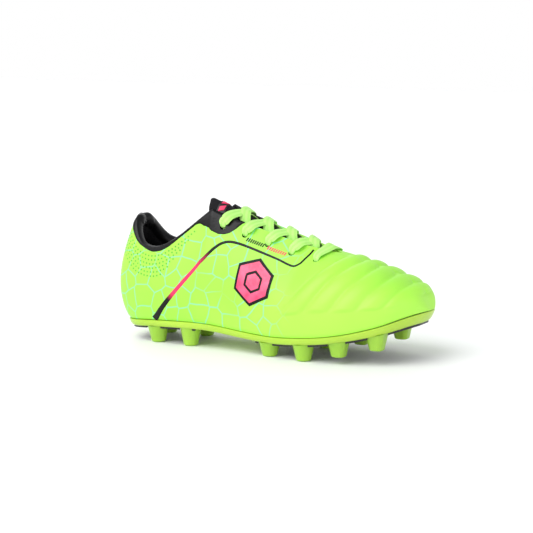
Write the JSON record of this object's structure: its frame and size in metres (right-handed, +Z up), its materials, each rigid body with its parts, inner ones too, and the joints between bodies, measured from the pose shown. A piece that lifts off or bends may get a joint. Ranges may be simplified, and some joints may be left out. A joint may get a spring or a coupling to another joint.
{
  "type": "soccer cleat",
  "caption": "Child's low-cut soccer cleat: laced synthetic upper over a moulded outsole with conical studs, padded collar and a tongue that presses into the shoe.",
  "frame": {"origin": "middle of the bounding box at the height of the stud tips", "axes": "+X to the toe, +Y to the inner side of the foot, +Z up; the heel studs and the rear forefoot studs stand on z = 0"},
  "size_m": [0.2262, 0.0802, 0.0963],
  "materials": {
    "upper": "smooth coated synthetic, neon green",
    "collar": "black synthetic rim",
    "lining": "black knitted lining",
    "stiffener": "hidden thermoplastic sheet",
    "foam": "hidden padding",
    "insert": "black moulded insert",
    "outsole": "satin moulded outsole, lime",
    "stud": "satin moulded studs, lime",
    "board": "hidden fibre board",
    "sockliner": "black cloth-topped foam",
    "tongue": "black padded mesh",
    "label": "plain pink patch",
    "lace": "flat woven lace, pale green",
    "aglet": "pale green tip",
    "emblem": "plain hexagonal film, pink with a black edge"
  },
  "bodies": {
    "shoe": {"upper_shell": "upper", "collar_facing": "collar", "lining": "lining", "heel_counter": "stiffener", "toe_puff": "stiffener", "collar_foam": "foam", "eyestay_backing_outer": "stiffener", "eyestay_backing_inner": "stiffener", "forefoot_insert": "insert", "heel_insert": "insert", "outsole_plate": "outsole", "lasting_board": "board", "sockliner": "sockliner", "lace": "lace", "lace_end_outer": "lace", "lace_end_inner": "lace", "aglet_outer": "aglet", "aglet_inner": "aglet", "emblem_outer": "emblem", "emblem_inner": "emblem", "stud_heel_outer_rear": "stud", "stud_heel_outer_front": "stud", "stud_heel_inner_rear": "stud", "stud_heel_inner_front": "stud", "stud_forefoot_outer_1": "stud", "stud_forefoot_outer_2": "stud", "stud_forefoot_outer_3": "stud", "stud_forefoot_outer_4": "stud", "stud_forefoot_inner_1": "stud", "stud_forefoot_inner_2": "stud", "stud_forefoot_inner_3": "stud"},
    "tongue": {"tongue_face": "tongue", "tongue_foam": "foam", "tongue_lining": "lining", "tongue_label": "label"}
  },
  "joints": [
    {"name": "tongue_press", "type": "hinge", "parent": "shoe", "child": "tongue", "pos_m": [0.0615, 0, 0.05], "axis": [0, -1, 0], "range_deg": [0, 10], "stiffness_Nm_per_rad": 0.5}
  ]
}
